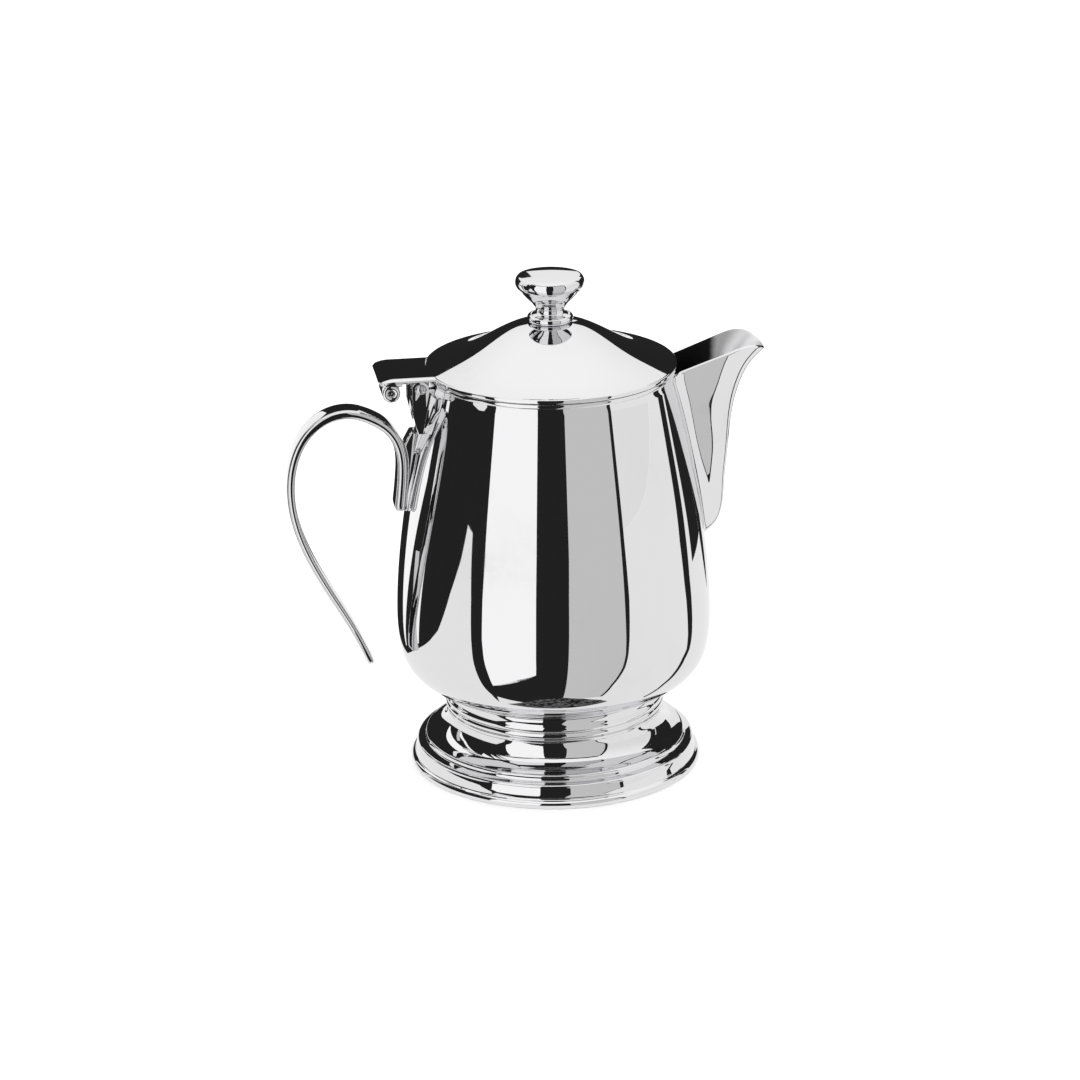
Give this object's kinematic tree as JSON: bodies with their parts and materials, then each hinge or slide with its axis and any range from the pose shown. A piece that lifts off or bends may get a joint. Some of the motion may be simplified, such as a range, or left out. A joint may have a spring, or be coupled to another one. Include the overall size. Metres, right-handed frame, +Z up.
{
  "type": "coffee pot",
  "caption": "Mirror-polished footed coffee pot with a beak spout, an open strap handle and a hinged domed lid with a thumb tongue and a turned knob.",
  "frame": {"origin": "centre of the foot, on the table", "axes": "+Z up, +X towards the spout, the handle and the lid hinge at -X, the hinge pin along Y"},
  "size_m": [0.1598, 0.1048, 0.1689],
  "materials": {
    "polished_steel": "mirror-polished stainless steel",
    "satin_steel": "satin stainless steel",
    "pin_steel": "turned and peened stainless steel"
  },
  "bodies": {
    "pot": {"body_shell": "polished_steel", "rim_bead": "polished_steel", "spout_shell": "polished_steel", "foot_collar": "polished_steel", "foot_shell": "polished_steel", "hinge_bracket": "polished_steel", "hinge_pin": "pin_steel", "handle_mount": "polished_steel", "handle_strap": "polished_steel"},
    "lid": {"lid_shell": "polished_steel", "lid_flange": "polished_steel", "lid_tongue": "polished_steel", "knob": "polished_steel", "knob_washer": "satin_steel", "knob_screw": "satin_steel"}
  },
  "joints": [
    {"name": "lid_hinge", "type": "hinge", "parent": "pot", "child": "lid", "pos_m": [-0.0442, 0, 0.1346], "axis": [0, -1, 0], "range_deg": [0, 66]}
  ]
}
